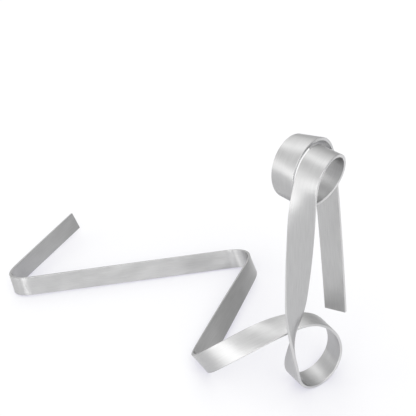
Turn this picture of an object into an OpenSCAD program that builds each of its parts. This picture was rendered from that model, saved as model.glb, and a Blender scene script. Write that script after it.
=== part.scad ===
// Wine bottle holder bent from one flat metal strip.
// The strip zigzags over the table on its lower edge, rises into a small upright loop,
// twists up as the front leg, wraps the bottle's neck one and a half times and hangs down.
// It is a bend programme: stretches that bend only about the strip's width and twist about
// its length. A positive bend curls towards one broad face, a negative bend towards the other.

/* [Strip] */
// Width of the flat strip
strip_width = 16; // [12:0.5:18]
// Thickness of the strip
strip_thickness = 2; // [1.5:0.25:2.5]
// Rounding radius of the strip's long corners
corner_radius = 0.5; // [0.3:0.05:0.7]
// Length to each side of a bend's ends over which the bend eases in and out
bend_ease = 8; // [5:0.5:10]

/* [Free end and first fold] */
// Length of the straight free end that lies on the table
free_end_length = 87.5; // [60:0.5:110]
// Twist along the free end, in degrees
free_end_twist = -11; // [-20:0.5:0]
// Radius of the first fold
fold_1_radius = 8.75; // [7:0.25:11]
// Bend of the first fold, in degrees
fold_1_bend = 131; // [120:0.5:140]
// Twist within the first fold, in degrees
fold_1_twist = -16.5; // [-24:0.5:-10]

/* [Long base leg and second fold] */
// Length of the long leg between the first two folds
long_leg_length = 173.5; // [150:0.5:190]
// Twist along the long leg, in degrees
long_leg_twist = -19; // [-26:0.5:-12]
// Direction of the long leg over the table, from the X axis, in degrees
long_leg_heading = 13.5; // [0:0.5:30]
// Rise of the long leg at its middle, in degrees
long_leg_rise = -0.5; // [-1.5:0.5:1.5]
// Lean of the strip away from upright at the middle of the long leg, in degrees
long_leg_lean = 19.5; // [12:0.5:26]
// Radius of the second fold
fold_2_radius = 16; // [13:0.25:19]
// Bend of the second fold, in degrees
fold_2_bend = -132.5; // [-140:0.5:-125]
// Twist within the second fold, in degrees
fold_2_twist = 39; // [32:0.5:46]

/* [Short base leg and third fold] */
// Length of the short leg between the second and third folds
short_leg_length = 96.5; // [85:0.5:110]
// Twist along the short leg, in degrees
short_leg_twist = 30.5; // [24:0.5:37]
// Radius of the third fold
fold_3_radius = 19.25; // [16:0.25:22]
// Bend of the third fold, in degrees
fold_3_bend = 114; // [108:0.5:120]
// Twist within the third fold, in degrees
fold_3_twist = -32.5; // [-39:0.5:-26]

/* [Rising leg] */
// Length of the lower part of the rising leg
rise_low_length = 28; // [22:0.5:34]
// Bend of the lower part, in degrees
rise_low_bend = 14; // [9:0.5:19]
// Twist of the lower part, in degrees
rise_low_twist = -11.5; // [-17:0.5:-6]
// Length of the upper part of the rising leg, up to the loop
rise_high_length = 39; // [33:0.5:45]
// Bend of the upper part, in degrees
rise_high_bend = 32; // [27:0.5:37]
// Twist of the upper part, in degrees
rise_high_twist = -44.5; // [-50:0.5:-39]

/* [Upright loop] */
// Radius over the top of the loop
loop_top_radius = 26.75; // [24:0.25:30]
// Bend over the top of the loop, in degrees
loop_top_bend = 79.5; // [75:0.5:84]
// Twist over the top of the loop, in degrees
loop_top_twist = -3.5; // [-8:0.5:1]
// Radius down the outer side of the loop
loop_side_radius = 20.75; // [18:0.25:23]
// Bend down the outer side of the loop, in degrees
loop_side_bend = 93; // [88:0.5:98]
// Twist down the outer side of the loop, in degrees
loop_side_twist = -17; // [-22:0.5:-12]
// Radius round the foot of the loop
loop_foot_radius = 19.25; // [17:0.25:22]
// Bend round the foot of the loop, in degrees
loop_foot_bend = 89.5; // [85:0.5:94]
// Twist round the foot of the loop, in degrees
loop_foot_twist = -1; // [-6:0.5:4]

/* [Front leg] */
// Length of the lower third of the front leg, where the strip turns edge on
front_low_length = 53; // [47:0.5:60]
// Bend of the lower third, in degrees
front_low_bend = 1; // [-4:0.5:6]
// Twist of the lower third, in degrees
front_low_twist = -87.5; // [-95:0.5:-80]
// Length of the middle third of the front leg
front_mid_length = 58.5; // [50:0.5:67]
// Bend of the middle third, in degrees
front_mid_bend = -0.5; // [-5:0.5:4]
// Twist of the middle third, in degrees
front_mid_twist = -41; // [-47:0.5:-35]
// Length of the upper third of the front leg
front_high_length = 31.5; // [26:0.5:37]
// Bend of the upper third, towards the neck, in degrees
front_high_bend = -22.5; // [-28:0.5:-17]
// Twist of the upper third, in degrees
front_high_twist = -41.5; // [-47:0.5:-36]

/* [Neck coil] */
// Inside diameter of the coil that holds the bottle's neck
coil_bore = 34.5; // [32:0.5:38]
// Gap between the two turns of the coil, along the neck
coil_gap = 1.8; // [1.2:0.1:3]
// Angle of the even part of the coil, in degrees
coil_wrap = 370; // [355:2.5:385]
// Radius of the first bend into the coil, as a multiple of the coil's own
coil_entry_slack = 1.15; // [1.05:0.05:1.3]
// Bend into the coil, in degrees
coil_entry_bend = -31.5; // [-37:0.5:-26]
// Twist into the coil, in degrees
coil_entry_twist = 9; // [4:0.5:14]
// Radius of the first bend out of the coil, as a multiple of the coil's own
coil_exit_slack = 1.35; // [1.25:0.05:1.5]
// First bend out of the coil, in degrees
coil_exit_bend = -61; // [-66:0.5:-56]
// Twist of the first bend out of the coil, in degrees
coil_exit_twist = -8.5; // [-13:0.5:-4]
// Radius of the bend behind the neck, as a multiple of the coil's own
coil_drop_tightness = 0.8; // [0.75:0.05:0.95]
// Bend behind the neck, down into the hanging end, in degrees
coil_drop_bend = -56; // [-61:0.5:-51]
// Twist of the bend behind the neck, in degrees
coil_drop_twist = -7; // [-12:0.5:-2]

/* [Hanging end] */
// Length of the upper third of the hanging end
hang_high_length = 37.5; // [30:0.5:45]
// Bend of the upper third, in degrees
hang_high_bend = -6; // [-10:0.5:-2]
// Twist of the upper third, in degrees
hang_high_twist = 1; // [-3:0.5:5]
// Length of the lower part of the hanging end
hang_low_length = 75; // [60:0.5:85]
// Bend of the lower part, in degrees
hang_low_bend = -2.5; // [-6:0.5:1]
// Twist of the lower part, in degrees
hang_low_twist = 5; // [0:0.5:10]

/* [Hidden] */
metal_colour = "silver";

// Distance along the strip between two rings of the surface
ring_pitch = 3;
// Steps in the rounding of each long corner
corner_steps = 2;

// The coil is wound a little tight, and its bore is then sized true on a round mandrel
sizing_depth = 0.05;
mandrel_facets = 96;

// Middle surface of the coil, and its advance along the neck in one turn
coil_radius = (coil_bore + strip_thickness) / 2 - sizing_depth;
coil_lead = strip_width + coil_gap;

// Each stretch is [length, bend, twist], in the order in which the strip runs
function straight(length, bend, twist) = [length, bend, twist];
function curve(radius, bend, twist) = [radius * abs(bend) * PI / 180, bend, twist];

// A strip that lies flat on a cylinder as a helix bends and twists at even rates
function helix_slope(radius, lead) = atan(lead / (2 * PI * radius));
function helix(radius, lead, wrap) =
    let (
        slope = helix_slope(radius, lead),
        length = radius * wrap * PI / 180 / cos(slope),
        turn = length / radius * 180 / PI
    )
    [length, -turn * pow(cos(slope), 2), turn * sin(slope) * cos(slope)];

LONG_LEG_AT = 2;
NECK_COIL_AT = 15;
STRETCHES = [
    straight(free_end_length, 0, free_end_twist),
    curve(fold_1_radius, fold_1_bend, fold_1_twist),
    straight(long_leg_length, 0, long_leg_twist),
    curve(fold_2_radius, fold_2_bend, fold_2_twist),
    straight(short_leg_length, 0, short_leg_twist),
    curve(fold_3_radius, fold_3_bend, fold_3_twist),
    straight(rise_low_length, rise_low_bend, rise_low_twist),
    straight(rise_high_length, rise_high_bend, rise_high_twist),
    curve(loop_top_radius, loop_top_bend, loop_top_twist),
    curve(loop_side_radius, loop_side_bend, loop_side_twist),
    curve(loop_foot_radius, loop_foot_bend, loop_foot_twist),
    straight(front_low_length, front_low_bend, front_low_twist),
    straight(front_mid_length, front_mid_bend, front_mid_twist),
    straight(front_high_length, front_high_bend, front_high_twist),
    curve(coil_radius * coil_entry_slack, coil_entry_bend, coil_entry_twist),
    helix(coil_radius, coil_lead, coil_wrap),
    curve(coil_radius * coil_exit_slack, coil_exit_bend, coil_exit_twist),
    curve(coil_radius * coil_drop_tightness, coil_drop_bend, coil_drop_twist),
    straight(hang_high_length, hang_high_bend, hang_high_twist),
    straight(hang_low_length, hang_low_bend, hang_low_twist)
];

// Sums of length, bend and twist up to the start of each stretch, and to the end
STRETCH_COUNT = len(STRETCHES);
NO_STRETCH = [0, 0, 0];
TOTALS = [
    for (
        i = 0, sum = NO_STRETCH;
        i <= STRETCH_COUNT;
        sum = sum + (i < STRETCH_COUNT ? STRETCHES[i] : NO_STRETCH),
        i = i + 1
    )
    sum
];
BEND_SO_FAR = [for (sum = TOTALS) [sum[0], sum[1]]];
TWIST_SO_FAR = [for (sum = TOTALS) [sum[0], sum[2]]];
strip_length = TOTALS[STRETCH_COUNT][0];
ring_count = ceil(strip_length / ring_pitch);
step = strip_length / ring_count;
function middle_ring(stretch) = ceil((TOTALS[stretch][0] + TOTALS[stretch + 1][0]) / 2 / step);

// Bend or twist over one step, averaged over the easing length to both sides
function eased(so_far, at) =
    (lookup(at + bend_ease, so_far) - lookup(at - bend_ease, so_far)) * step / (2 * bend_ease);

// Vector v turned about a unit axis
function turned(v, axis, angle) =
    v * cos(angle) + cross(axis, v) * sin(angle) + axis * (axis * v) * (1 - cos(angle));
function unit(v) = v / norm(v);

// A frame is [place, along, face, width]. Along follows the strip, face is normal to its
// broad side, and width points from the lower to the upper edge.
function next_frame(frame, bend, twist) =
    let (
        spin = frame[1] * twist + frame[3] * bend,
        angle = norm(spin),
        axis = angle > 0 ? spin / angle : frame[3]
    )
    [
        frame[0] + step * turned(frame[1], axis, angle / 2),
        turned(frame[1], axis, angle),
        turned(frame[2], axis, angle),
        turned(frame[3], axis, angle)
    ];
START = [[0, 0, 0], [1, 0, 0], [0, 1, 0], [0, 0, 1]];
LOOSE_FRAMES = [
    for (
        i = 0, frame = START;
        i <= ring_count;
        at = (i + 0.5) * step,
        frame = next_frame(frame, eased(BEND_SO_FAR, at), eased(TWIST_SO_FAR, at)),
        i = i + 1
    )
    frame
];

// The middle of the long leg gets the direction, rise and lean that are given for it
LEG_ALONG = [
    cos(long_leg_heading) * cos(long_leg_rise),
    sin(long_leg_heading) * cos(long_leg_rise),
    sin(long_leg_rise)
];
LEG_UP = unit([0, 0, 1] - LEG_ALONG * LEG_ALONG[2]);
LEG_WIDTH = LEG_UP * cos(long_leg_lean) + cross(LEG_UP, LEG_ALONG) * sin(long_leg_lean);
LEG_AXES = [LEG_ALONG, cross(LEG_WIDTH, LEG_ALONG), LEG_WIDTH];
MIDDLE = LOOSE_FRAMES[middle_ring(LONG_LEG_AT)];

// A vector of the loose strip in the final directions
function laid(v) =
    (v * MIDDLE[1]) * LEG_AXES[0] + (v * MIDDLE[2]) * LEG_AXES[1] + (v * MIDDLE[3]) * LEG_AXES[2];

// The coil's axis: the strip runs up its helix slope, and its face points away from the axis
COIL_FRAME = LOOSE_FRAMES[middle_ring(NECK_COIL_AT)];
coil_slope = helix_slope(coil_radius, coil_lead);
COIL_AXIS = laid(COIL_FRAME[3] * cos(coil_slope) - COIL_FRAME[1] * sin(coil_slope));
COIL_CENTRE = laid(COIL_FRAME[0] - COIL_FRAME[2] * coil_radius);

// Outline of the strip's section, [across the width, across the thickness]
corner_width = strip_width / 2 - corner_radius;
corner_depth = strip_thickness / 2 - corner_radius;
SECTION = [
    for (corner = [[1, 1, 0], [-1, 1, 90], [-1, -1, 180], [1, -1, 270]])
    for (i = [0 : corner_steps])
    let (angle = corner[2] + 90 * i / corner_steps)
    [
        corner[0] * corner_width + corner_radius * cos(angle),
        corner[1] * corner_depth + corner_radius * sin(angle)
    ]
];
sides = len(SECTION);
LAID_POINTS = [
    for (frame = LOOSE_FRAMES)
    for (p = SECTION)
    laid(frame[0] + frame[3] * p[0] + frame[2] * p[1])
];

// The origin is under the middle of the holder, at the level of its lowest point
LOW = [for (axis = [0 : 2]) min([for (p = LAID_POINTS) p[axis]])];
HIGH = [for (axis = [0 : 2]) max([for (p = LAID_POINTS) p[axis]])];
ORIGIN = [(LOW[0] + HIGH[0]) / 2, (LOW[1] + HIGH[1]) / 2, LOW[2]];
POINTS = [for (p = LAID_POINTS) p - ORIGIN];

// Side faces between neighbouring rings, and one flat face at each cut end
SIDE_FACES = [
    for (ring = [0 : ring_count - 1])
    for (side = [0 : sides - 1])
    let (
        a = ring * sides + side,
        b = ring * sides + (side + 1) % sides
    )
    each [[a, b, b + sides], [a, b + sides, a + sides]]
];
START_CAP = [for (side = [sides - 1 : -1 : 0]) side];
END_CAP = [for (side = [0 : sides - 1]) ring_count * sides + side];

// The round mandrel that sizes the coil's bore, as long as two coils
module mandrel() {
    length = 2 * (coil_lead + strip_width);
    translate(COIL_CENTRE - ORIGIN)
        rotate([0, acos(COIL_AXIS[2]), atan2(COIL_AXIS[1], COIL_AXIS[0])])
            cylinder(h = length, d = coil_bore, center = true, $fn = mandrel_facets);
}

module bent_strip() {
    color(metal_colour)
        difference() {
            polyhedron(points = POINTS, faces = concat(SIDE_FACES, [START_CAP, END_CAP]), convexity = 10);
            mandrel();
        }
}

bent_strip();
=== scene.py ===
"""Looks of a wine bottle holder bent from one flat strip of brushed stainless steel.

The strip's broad faces, rounded corners and cut ends are made again here as one fine surface,
which follows the same bend programme as the solid that it replaces. Lengths are in millimetres
up to the moment when a mesh is made, and angles are in degrees.
"""

import math

import bpy
import numpy as np
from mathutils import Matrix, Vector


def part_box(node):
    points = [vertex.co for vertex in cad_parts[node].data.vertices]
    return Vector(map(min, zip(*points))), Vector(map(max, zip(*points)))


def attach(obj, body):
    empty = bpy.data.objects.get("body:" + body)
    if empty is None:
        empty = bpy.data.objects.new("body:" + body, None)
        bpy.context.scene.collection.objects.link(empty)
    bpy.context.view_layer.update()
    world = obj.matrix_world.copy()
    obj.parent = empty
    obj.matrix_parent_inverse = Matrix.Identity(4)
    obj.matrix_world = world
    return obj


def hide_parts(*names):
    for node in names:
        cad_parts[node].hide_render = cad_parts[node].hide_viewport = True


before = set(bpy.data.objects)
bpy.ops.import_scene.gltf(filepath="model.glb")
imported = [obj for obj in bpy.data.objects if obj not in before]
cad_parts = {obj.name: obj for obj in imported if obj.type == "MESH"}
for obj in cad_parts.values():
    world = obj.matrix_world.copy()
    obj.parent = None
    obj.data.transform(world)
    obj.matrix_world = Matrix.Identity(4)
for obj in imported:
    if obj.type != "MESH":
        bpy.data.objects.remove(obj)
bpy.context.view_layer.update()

MM = 0.001

# The strip's section
STRIP_WIDTH = 16.0
STRIP_THICKNESS = 2.0
# The long corners look crisper than the solid's, which are rounded by 0.5
CORNER_RADIUS = 0.3
# Steps round each corner and across each broad face
CORNER_STEPS = 5
BROAD_STEPS = 10
# Distance of the last point of a broad face from its rounded corner
CORNER_MARGIN = 0.35

# The rounded rim of each cut end
RIM_RADIUS = 0.3
RIM_STEPS = 4

# Length to each side of a bend's ends over which the bend eases in and out
BEND_EASE = 8.0
# Longest distance between two frames of the strip, and how finely each step is divided
RING_PITCH = 3.0
RINGS_PER_STEP = 4

# The coil at the top, which is wound a little tight before its bore is sized
COIL_BORE = 34.5
COIL_GAP = 1.8
COIL_WRAP = 370.0
SIZING_DEPTH = 0.05
COIL_RADIUS = (COIL_BORE + STRIP_THICKNESS) / 2 - SIZING_DEPTH
COIL_LEAD = STRIP_WIDTH + COIL_GAP

# How the long leg lies at its middle
LONG_LEG_HEADING = 13.5
LONG_LEG_RISE = -0.5
LONG_LEG_LEAN = 19.5

# Names of what the surface carries for its material
STRIP_UV = "along_and_around"
EDGE_SHARE = "edge_share"
BEND_SHARE = "bend_share"
# The radius at which a bend counts as fully tight, for the finish
TIGHT_BEND_RADIUS = 9.0

# Colours of the bare metal, at the darker and lighter scratches, and of the narrow edges,
# which carry painted shade on the base and a painted highlight where the strip rises
METAL_DARK = "#B1B1B1"
METAL_LIGHT = "#C5C5C5"
EDGE_PAINTED_SHADE = "#A8A8A8"
EDGE_PAINTED_HIGHLIGHT = "#D6D6D6"
# Distances along the strip between which the edges go from painted shade to a painted
# highlight, as it rises
EDGE_HIGHLIGHT_STARTS = 450.0
EDGE_HIGHLIGHT_FULL = 500.0

# Marks on the metal: length along the strip, spacing across it, and levels of finer detail. The
# belt's scratches really lie about 0.05 apart, too fine to show, so they are drawn coarser.
# Clouds are left where the belt pressed unevenly, and waves where the strip was bent by hand
SCRATCHES = (14, 0.7, 3)
CLOUDS = (9, 5, 2)
WAVES = (16, 12, 0)
# Strength of each finer level of a mark beside the level before it
FINER_LEVEL = 0.6

# Roughness that each of these adds where it is weakest and where it is strongest
SCRATCH_ROUGHNESS = (0.28, 0.40)
CLOUD_ROUGHNESS = (-0.03, 0.03)
BEND_ROUGHNESS = (0, 0.08)
EDGE_ROUGHNESS = (0, 0.1)

# Heights of the waves and scratches. The scratches show only a part of their slope
WAVE_HEIGHT = 0.5
SCRATCH_HEIGHT = 0.01
SCRATCH_STRENGTH = 0.3

# How far a highlight is drawn out, and its direction as a part of a full turn from the strip's
# length, so a quarter is across the strip
DRAWN_OUT = 0.8
DRAWN_ACROSS = 0.25

# Sockets of a Mix node's two colours and of their mix, whose names it uses more than once
COLOUR_A = 6
COLOUR_B = 7
MIXED = 2

# The camera's place, and how far it is pitched down from level. Its angle of view is that of a
# focal length of 666 pixels over the frame's 416
CAMERA_PLACE = (35.2, -421.3, 350.4)
CAMERA_DOWN = 31.66
FRAME_PIXELS = 416
FOCAL_PIXELS = 666
SENSOR_WIDTH = 36.0
# Nothing nearer to the camera than this is drawn
NEAREST_SEEN = 10.0

FLOOR_SIZE = 8000.0
# The floor's white, split into a part that the lamps light and a part that glows, so that
# shadows stay faint. The lit part is a little warm and the glow cool, so shadows look lavender
FLOOR_LIT = "#BCBEAF"
FLOOR_GLOW = "#A3A0B7"
# The paper's own white, for the light that it throws back
FLOOR_BOUNCE = "#E7E7E7"

# The studio around the object, in plain white: its even level, and soft lights, some broad and
# some narrow, each with an azimuth from the front to the right, an elevation, a gain and a
# sharpness
WHITE = "#FFFFFF"
STUDIO_LEVEL = 0.41
STUDIO_LIGHTS = {
    "softbox overhead": (0, 90, 0.9, 4),
    "softbox at the left": (-75, 12, 1.55, 6),
    "softbox at the back": (-165, 30, 1.11, 6),
    "small softbox at the front left": (-38, 18, 3, 40),
    "softbox high at the front": (15, 42, 3.1, 15),
    "small softbox high at the back left": (-150, 58, 0.98, 40),
    "narrow light at the front": (-6, 3, 11.5, 120),
}


def straight(length, bend, twist):
    """A stretch of a given length, with the bend and twist that it takes in all."""
    return [length, bend, twist]


def curve(radius, bend, twist):
    """A stretch that bends on a radius: its length is the radius times the bend's arc."""
    return [radius * abs(math.radians(bend)), bend, twist]


def helix(radius, lead, wrap):
    """A strip laid flat on a cylinder as a helix, which bends and twists at even rates.

    Where t is its length over the radius, it bends by -t * cos(slope) ** 2 and twists by
    t * sin(slope) * cos(slope).
    """
    slope = math.atan(lead / (2 * math.pi * radius))
    length = radius * math.radians(wrap) / math.cos(slope)
    turn = math.degrees(length / radius)
    return [length, -turn * math.cos(slope) ** 2, turn * math.sin(slope) * math.cos(slope)]


# The bend programme, from the free end to the hanging end
FREE_END = straight(87.5, 0, -11)
FIRST_FOLD = curve(8.75, 131, -16.5)
LONG_LEG = straight(173.5, 0, -19)
SECOND_FOLD = curve(16, -132.5, 39)
SHORT_LEG = straight(96.5, 0, 30.5)
THIRD_FOLD = curve(19.25, 114, -32.5)
RISING_LEG = [straight(28, 14, -11.5), straight(39, 32, -44.5)]
UPRIGHT_LOOP = [curve(26.75, 79.5, -3.5), curve(20.75, 93, -17), curve(19.25, 89.5, -1)]
FRONT_LEG = [straight(53, 1, -87.5), straight(58.5, -0.5, -41), straight(31.5, -22.5, -41.5)]
NECK_COIL = [
    curve(COIL_RADIUS * 1.15, -31.5, 9),
    helix(COIL_RADIUS, COIL_LEAD, COIL_WRAP),
    curve(COIL_RADIUS * 1.35, -61, -8.5),
    curve(COIL_RADIUS * 0.8, -56, -7),
]
HANGING_END = [straight(37.5, -6, 1), straight(75, -2.5, 5)]
BASE = [FREE_END, FIRST_FOLD, LONG_LEG, SECOND_FOLD, SHORT_LEG, THIRD_FOLD]
LONG_LEG_AT = BASE.index(LONG_LEG)
STRETCHES = np.array(BASE + RISING_LEG + UPRIGHT_LOOP + FRONT_LEG + NECK_COIL + HANGING_END)


def turned(vectors, axes, angles):
    """Vectors turned about unit axes by angles in radians, row by row (Rodrigues' formula)."""
    cosine = np.cos(angles)[:, None]
    sine = np.sin(angles)[:, None]
    along_axis = np.sum(vectors * axes, 1, keepdims=True)
    return vectors * cosine + np.cross(axes, vectors) * sine + axes * along_axis * (1 - cosine)


def step_turns():
    """The turn over each step of the strip, as a unit axis in the step's own frame and an angle.

    Bend and twist over a step are the change of their running sums, averaged over the easing
    length to both sides. The turn is along * twist + width * bend. Returns the axes, the angles
    in radians, the step's length and the running sums.
    """
    so_far = np.vstack([np.zeros(3), np.cumsum(STRETCHES, 0)])
    count = math.ceil(so_far[-1, 0] / RING_PITCH)
    step = so_far[-1, 0] / count
    middle = (np.arange(count) + 0.5) * step
    ahead = [np.interp(middle + BEND_EASE, so_far[:, 0], so_far[:, k]) for k in (1, 2)]
    behind = [np.interp(middle - BEND_EASE, so_far[:, 0], so_far[:, k]) for k in (1, 2)]
    bend, twist = np.radians(np.array(ahead) - behind) * step / (2 * BEND_EASE)
    spin = np.stack([twist, np.zeros(count), bend], 1)
    angles = np.linalg.norm(spin, axis=1)
    axes = np.tile([0.0, 0.0, 1.0], (count, 1))
    bent = angles > 0
    axes[bent] = spin[bent] / angles[bent, None]
    return axes, angles, step, so_far


def long_leg_axes():
    """Directions along the long leg, out of its face and up its width, from its three angles.

    Heading and rise give the direction along. The width is straight up, made square to that
    direction and then leant about it.
    """
    heading, rise, lean = np.radians([LONG_LEG_HEADING, LONG_LEG_RISE, LONG_LEG_LEAN])
    level = np.array([math.cos(heading), math.sin(heading), 0])
    along = level * math.cos(rise) + np.array([0, 0, math.sin(rise)])
    up = np.array([0, 0, 1]) - along * along[2]
    up /= np.linalg.norm(up)
    width = up * math.cos(lean) + np.cross(up, along) * math.sin(lean)
    return np.stack([along, np.cross(width, along), width])


def strip_frames():
    """Fine rings along the strip, in the directions of the finished holder.

    Each step starts where the last one ended, turned by the last one's turn. Over a step the
    place moves by its length along the half-turned direction, and within a step both the turn
    and the move are taken in equal shares, so fine rings lie on the step's own arc. Returns
    places, directions [along, face, width] and distances along the strip.
    """
    axes, angles, step, so_far = step_turns()
    count = len(angles)
    turns = np.stack([turned(np.tile(v, (count, 1)), axes, angles) for v in np.eye(3)], 1)
    starts = np.empty((count + 1, 3, 3))
    starts[0] = np.eye(3)
    for i in range(count):
        starts[i + 1] = turns[i] @ starts[i]

    world_axes = np.einsum("ni,nij->nj", axes, starts[:-1])
    moves = step * turned(starts[:-1, 0], world_axes, angles / 2)
    corners = np.vstack([np.zeros(3), np.cumsum(moves, 0)])

    of_step = np.repeat(np.arange(count), RINGS_PER_STEP)
    share = np.tile(np.arange(RINGS_PER_STEP) / RINGS_PER_STEP, count)
    axis, angle, start = world_axes[of_step], angles[of_step] * share, starts[of_step]
    part_way = step * share[:, None] * turned(start[:, 0], axis, angle / 2)
    places = np.vstack([corners[of_step] + part_way, corners[-1:]])
    directions = np.stack([turned(start[:, k], axis, angle) for k in range(3)], 1)
    directions = np.vstack([directions, starts[-1:]])

    leg_start, leg_end = so_far[LONG_LEG_AT, 0], so_far[LONG_LEG_AT + 1, 0]
    middle = starts[math.ceil((leg_start + leg_end) / 2 / step)]
    lay = middle.T @ long_leg_axes()
    return places @ lay, directions @ lay, np.linspace(0, so_far[-1, 0], len(places))


def strip_section():
    """Points round the strip's section, [across the width, across the thickness].

    Each corner is a quarter circle. Each broad face is even steps between two points set close
    to its corners, so that it shades flat.
    """
    half_width = STRIP_WIDTH / 2 - CORNER_RADIUS
    half_depth = STRIP_THICKNESS / 2 - CORNER_RADIUS
    last = half_width - CORNER_MARGIN
    broad = np.stack([np.linspace(last, -last, BROAD_STEPS + 1)] * 2, 1)
    broad[:, 1] = STRIP_THICKNESS / 2
    parts = []
    for side_w, side_d, start in ((1, 1, 0), (-1, 1, 90), (-1, -1, 180), (1, -1, 270)):
        turn = np.radians(np.linspace(start, start + 90, CORNER_STEPS + 1))
        corner = np.stack([np.cos(turn), np.sin(turn)], 1) * CORNER_RADIUS
        parts.append(corner + [side_w * half_width, side_d * half_depth])
        if side_w == side_d:
            parts.append(broad * side_w)
    return np.vstack(parts)


def ring_stations(ring_count):
    """Which frame each ring of the surface uses, its step along from there, and its inset.

    At each cut end the rim is rounded: over a quarter circle of angle a, a ring is set in from
    the section by r * (1 - sin a) and back from the cut by r * (1 - cos a).
    """
    turn = np.radians(np.linspace(0, 90, RIM_STEPS + 1))
    rim_inset = RIM_RADIUS * (1 - np.sin(turn))
    rim_back = RIM_RADIUS * (1 - np.cos(turn))
    plain = np.zeros(ring_count - 2)
    first = np.zeros(RIM_STEPS + 1, int)
    index = np.concatenate([first, np.arange(1, ring_count - 1), first + ring_count - 1])
    shift = np.concatenate([rim_back, plain, -rim_back[::-1]])
    inset = np.concatenate([rim_inset, plain, rim_inset[::-1]])
    return index, shift, inset


def strip_faces(ring, side, sides):
    """A face from each side of a ring to the next ring, and one flat face over each cut end."""
    after = (side + 1) % sides
    here, beyond = ring * sides, (ring + 1) * sides
    around = np.stack([here + side, here + after, beyond + after, beyond + side], 1)
    start_cap = np.arange(sides)[::-1]
    end_cap = np.arange(sides) + beyond[-1]
    return around.tolist() + [start_cap.tolist(), end_cap.tolist()]


def strip_uv(ring, side, station, outline):
    """The faces' UV map in metres: U is the distance along the strip, V that round its section.

    The flat end faces are laid out beyond the strip's two ends, so that nothing overlaps.
    """
    closed = np.vstack([outline, outline[:1]])
    around = np.concatenate([[0], np.cumsum(np.linalg.norm(np.diff(closed, axis=0), axis=1))])
    u = np.stack([station[ring], station[ring], station[ring + 1], station[ring + 1]], 1)
    v = np.stack([around[side], around[side + 1], around[side + 1], around[side]], 1)
    start_uv = outline[::-1] + [-STRIP_WIDTH, STRIP_WIDTH / 2]
    end_uv = outline + [station[-1] + STRIP_WIDTH, STRIP_WIDTH / 2]
    return np.vstack([np.stack([u.ravel(), v.ravel()], 1), start_uv, end_uv]) * MM


def make_strip():
    """The whole strip as one closed surface: the section carried along the strip's frames.

    A vertex is place + width * w + face * d for the section's point (w, d), which is drawn in
    towards the middle at the rims. The solid's box says where the whole lies.
    """
    places, directions, distances = strip_frames()
    outline = strip_section()
    index, shift, inset = ring_stations(len(places))
    centres = places[index] + directions[index, 0] * shift[:, None]
    across = np.outer(1 - inset / (STRIP_WIDTH / 2), outline[:, 0])[..., None]
    deep = np.outer(1 - inset / (STRIP_THICKNESS / 2), outline[:, 1])[..., None]
    out, up = directions[index, 1][:, None], directions[index, 2][:, None]
    vertices = (centres[:, None] + up * across + out * deep).reshape(-1, 3)
    box_middle = sum(np.array(corner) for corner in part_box("bent_strip")) / 2 / MM
    vertices += box_middle - (vertices.min(0) + vertices.max(0)) / 2

    rings, sides = len(index), len(outline)
    ring, side = np.divmod(np.arange((rings - 1) * sides), sides)
    faces = strip_faces(ring, side, sides)
    mesh = bpy.data.meshes.new("strip")
    mesh.from_pydata(vertices * MM, [], faces)
    smooth = np.ones(len(faces), bool)
    smooth[-2:] = False
    mesh.polygons.foreach_set("use_smooth", smooth)
    uv = strip_uv(ring, side, distances[index] + shift, outline)
    mesh.uv_layers.new(name=STRIP_UV).data.foreach_set("uv", uv.ravel())

    # How much of each point is narrow edge or corner, and how tight the bend is there
    beyond_flat = np.abs(outline[:, 0]) - (STRIP_WIDTH / 2 - CORNER_RADIUS)
    edge = np.clip(beyond_flat / CORNER_RADIUS, 0, 1)
    curvature = np.linalg.norm(np.gradient(directions[:, 0], distances, axis=0), axis=1)
    bend = np.clip(curvature * TIGHT_BEND_RADIUS, 0, 1)[index]
    shares = {EDGE_SHARE: np.tile(edge, rings), BEND_SHARE: np.repeat(bend, sides)}
    for name, values in shares.items():
        mesh.attributes.new(name, "FLOAT", "POINT").data.foreach_set("value", values)
    strip = bpy.data.objects.new("brushed_strip", mesh)
    bpy.context.scene.collection.objects.link(strip)
    return strip


def linear(hex_colour):
    """A colour written as sRGB hex, as the linear RGBA that a shader takes."""
    parts = [int(hex_colour[i : i + 2], 16) / 255 for i in (1, 3, 5)]
    return [c / 12.92 if c <= 0.04045 else ((c + 0.055) / 1.055) ** 2.4 for c in parts] + [1.0]


def add(tree, kind, inputs=None, **settings):
    """Adds a node with its settings. Each input takes a value, or a socket to link from."""
    node = tree.nodes.new(kind)
    for name, value in settings.items():
        setattr(node, name, value)
    for key, value in (inputs or {}).items():
        if isinstance(value, bpy.types.NodeSocket):
            tree.links.new(value, node.inputs[key])
        else:
            node.inputs[key].default_value = value
    return node


def blank_material(name):
    """A material with an empty node tree."""
    material = bpy.data.materials.new(name)
    material.use_nodes = True
    material.node_tree.nodes.clear()
    return material, material.node_tree


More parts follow.
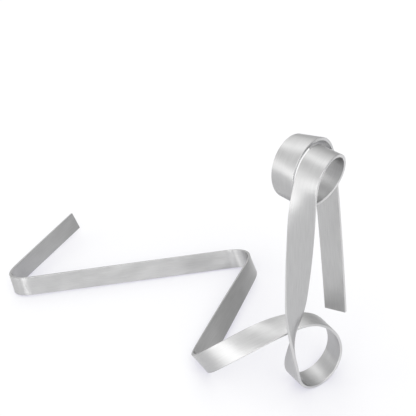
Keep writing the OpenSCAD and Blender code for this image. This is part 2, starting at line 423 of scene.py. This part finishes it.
def brushed_stainless():
    """Stainless strip brushed along its length with a fine belt, and bent cold afterwards.

    The belt leaves long hair-fine scratches, so a highlight is drawn out across the strip and
    stays sharp along it. The deburred edges are a little rougher than the faces, and their colour
    is painted light: painted shade on the base and a painted highlight from where the strip
    rises. Tight bends are a little duller, where the surface was stretched.
    """
    material, tree = blank_material("brushed_stainless_strip")
    uv = add(tree, "ShaderNodeUVMap", uv_map=STRIP_UV).outputs["UV"]
    edge = add(tree, "ShaderNodeAttribute", attribute_name=EDGE_SHARE).outputs["Fac"]
    bend = add(tree, "ShaderNodeAttribute", attribute_name=BEND_SHARE).outputs["Fac"]

    def marks(length, spacing, detail):
        """Noise drawn out along the strip, for marks of a length and a spacing."""
        scale = (1 / (length * MM), 1 / (spacing * MM), 1)
        placed = add(tree, "ShaderNodeMapping", {"Vector": uv, "Scale": scale}).outputs["Vector"]
        inputs = {"Vector": placed, "Scale": 1, "Detail": detail, "Roughness": FINER_LEVEL}
        return add(tree, "ShaderNodeTexNoise", inputs, noise_dimensions="2D").outputs["Fac"]

    scratches = marks(*SCRATCHES)
    clouds = marks(*CLOUDS)
    waves = marks(*WAVES)

    inputs = {0: scratches, COLOUR_A: linear(METAL_DARK), COLOUR_B: linear(METAL_LIGHT)}
    faces = add(tree, "ShaderNodeMix", inputs, data_type="RGBA").outputs[MIXED]
    # Painted light on the edges: painted shade on the base, a painted highlight as the strip
    # rises
    along = add(tree, "ShaderNodeSeparateXYZ", {"Vector": uv}).outputs["X"]
    inputs = {"Value": along, "From Min": EDGE_HIGHLIGHT_STARTS * MM, "From Max": EDGE_HIGHLIGHT_FULL * MM}
    edge_highlight = add(tree, "ShaderNodeMapRange", inputs).outputs["Result"]
    inputs = {0: edge_highlight, COLOUR_A: linear(EDGE_PAINTED_SHADE), COLOUR_B: linear(EDGE_PAINTED_HIGHLIGHT)}
    edges = add(tree, "ShaderNodeMix", inputs, data_type="RGBA").outputs[MIXED]
    inputs = {0: edge, COLOUR_A: faces, COLOUR_B: edges}
    colour = add(tree, "ShaderNodeMix", inputs, data_type="RGBA").outputs[MIXED]

    # The roughness is the sum of four parts, each of which follows one thing
    causes = (scratches, clouds, bend, edge)
    ranges = (SCRATCH_ROUGHNESS, CLOUD_ROUGHNESS, BEND_ROUGHNESS, EDGE_ROUGHNESS)
    rough = 0
    for cause, (low, high) in zip(causes, ranges):
        inputs = {"Value": cause, "To Min": low, "To Max": high}
        part = add(tree, "ShaderNodeMapRange", inputs).outputs["Result"]
        rough = add(tree, "ShaderNodeMath", {0: rough, 1: part}, operation="ADD").outputs[0]

    # The scratches lie on the waves
    inputs = {"Height": waves, "Strength": 1, "Distance": WAVE_HEIGHT * MM}
    wavy = add(tree, "ShaderNodeBump", inputs).outputs["Normal"]
    inputs = {
        "Height": scratches,
        "Strength": SCRATCH_STRENGTH,
        "Distance": SCRATCH_HEIGHT * MM,
        "Normal": wavy,
    }
    bump = add(tree, "ShaderNodeBump", inputs).outputs["Normal"]
    tangent = add(tree, "ShaderNodeTangent", direction_type="UV_MAP", uv_map=STRIP_UV)
    inputs = {
        "Base Color": colour,
        "Metallic": 1,
        "Roughness": rough,
        "Anisotropic": DRAWN_OUT,
        "Anisotropic Rotation": DRAWN_ACROSS,
        "Normal": bump,
        "Tangent": tangent.outputs["Tangent"],
    }
    surface = add(tree, "ShaderNodeBsdfPrincipled", inputs)
    add(tree, "ShaderNodeOutputMaterial", {"Surface": surface.outputs["BSDF"]})
    return material


def white_paper():
    """Matt white background paper. What the camera and the metal see of it glows a little, so
    that it comes out white with faint shadows."""
    material, tree = blank_material("white_background_paper")
    lit = add(tree, "ShaderNodeBsdfDiffuse", {"Color": linear(FLOOR_LIT)})
    glow = add(tree, "ShaderNodeEmission", {"Color": linear(FLOOR_GLOW), "Strength": 1})
    seen = add(tree, "ShaderNodeAddShader", {0: lit.outputs[0], 1: glow.outputs[0]})
    bounced = add(tree, "ShaderNodeBsdfDiffuse", {"Color": linear(FLOOR_BOUNCE)})
    inputs = {0: seen_directly(tree), 1: bounced.outputs[0], 2: seen.outputs[0]}
    mix = add(tree, "ShaderNodeMixShader", inputs)
    add(tree, "ShaderNodeOutputMaterial", {"Surface": mix.outputs[0]})
    return material


def seen_directly(tree):
    """1 for rays from the camera, or from a mirror-like or clear surface, and 0 for the rest."""
    path = add(tree, "ShaderNodeLightPath").outputs
    total = add(tree, "ShaderNodeMath", {0: path["Is Camera Ray"], 1: path["Is Glossy Ray"]})
    inputs = {0: total.outputs[0], 1: path["Is Transmission Ray"]}
    return add(tree, "ShaderNodeMath", inputs, use_clamp=True).outputs[0]


def make_floor():
    """One wide square of background paper at the table's level."""
    half = FLOOR_SIZE / 2 * MM
    corners = [(-half, -half, 0), (half, -half, 0), (half, half, 0), (-half, half, 0)]
    mesh = bpy.data.meshes.new("floor")
    mesh.from_pydata(corners, [], [(0, 1, 2, 3)])
    mesh.materials.append(white_paper())
    floor = bpy.data.objects.new("floor", mesh)
    bpy.context.scene.collection.objects.link(floor)


def direction(azimuth, elevation):
    """Unit vector for an azimuth from the front (-Y) towards the right (+X), and an elevation."""
    turn, rise = math.radians(azimuth), math.radians(elevation)
    return (math.sin(turn) * math.cos(rise), -math.cos(turn) * math.cos(rise), math.sin(rise))


def make_studio():
    """White to the camera, and a soft studio to everything else: an even level plus, for each
    light, gain * max(0, cosine to its middle) ** sharpness."""
    world = bpy.data.worlds.new("studio")
    bpy.context.scene.world = world
    world.use_nodes = True
    tree = world.node_tree
    tree.nodes.clear()
    ray = add(tree, "ShaderNodeTexCoord").outputs["Generated"]
    level = STUDIO_LEVEL
    for azimuth, elevation, gain, sharpness in STUDIO_LIGHTS.values():
        inputs = {0: ray, 1: direction(azimuth, elevation)}
        toward = add(tree, "ShaderNodeVectorMath", inputs, operation="DOT_PRODUCT")
        inputs = {0: toward.outputs["Value"], 1: 0}
        facing = add(tree, "ShaderNodeMath", inputs, operation="MAXIMUM").outputs[0]
        inputs = {0: facing, 1: sharpness}
        lobe = add(tree, "ShaderNodeMath", inputs, operation="POWER").outputs[0]
        inputs = {0: lobe, 1: gain, 2: level}
        level = add(tree, "ShaderNodeMath", inputs, operation="MULTIPLY_ADD").outputs[0]
    studio = add(tree, "ShaderNodeBackground", {"Color": linear(WHITE), "Strength": level})
    white = add(tree, "ShaderNodeBackground", {"Color": linear(WHITE), "Strength": 1})
    path = add(tree, "ShaderNodeLightPath").outputs
    inputs = {0: path["Is Camera Ray"], 1: studio.outputs[0], 2: white.outputs[0]}
    mix = add(tree, "ShaderNodeMixShader", inputs)
    add(tree, "ShaderNodeOutputWorld", {"Surface": mix.outputs[0]})


def make_camera():
    """The camera at the photograph's place, pitched down and level from side to side."""
    data = bpy.data.cameras.new("camera")
    data.sensor_width = SENSOR_WIDTH
    data.lens = SENSOR_WIDTH * FOCAL_PIXELS / FRAME_PIXELS
    data.clip_start = NEAREST_SEEN * MM
    camera = bpy.data.objects.new("camera", data)
    camera.location = [length * MM for length in CAMERA_PLACE]
    camera.rotation_euler = (math.radians(90 - CAMERA_DOWN), 0, 0)
    bpy.context.scene.collection.objects.link(camera)
    bpy.context.scene.camera = camera


strip = make_strip()
strip.data.materials.append(brushed_stainless())
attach(strip, "root")
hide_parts("bent_strip")
make_floor()
make_studio()
make_camera()
bpy.context.scene.view_settings.view_transform = "Standard"
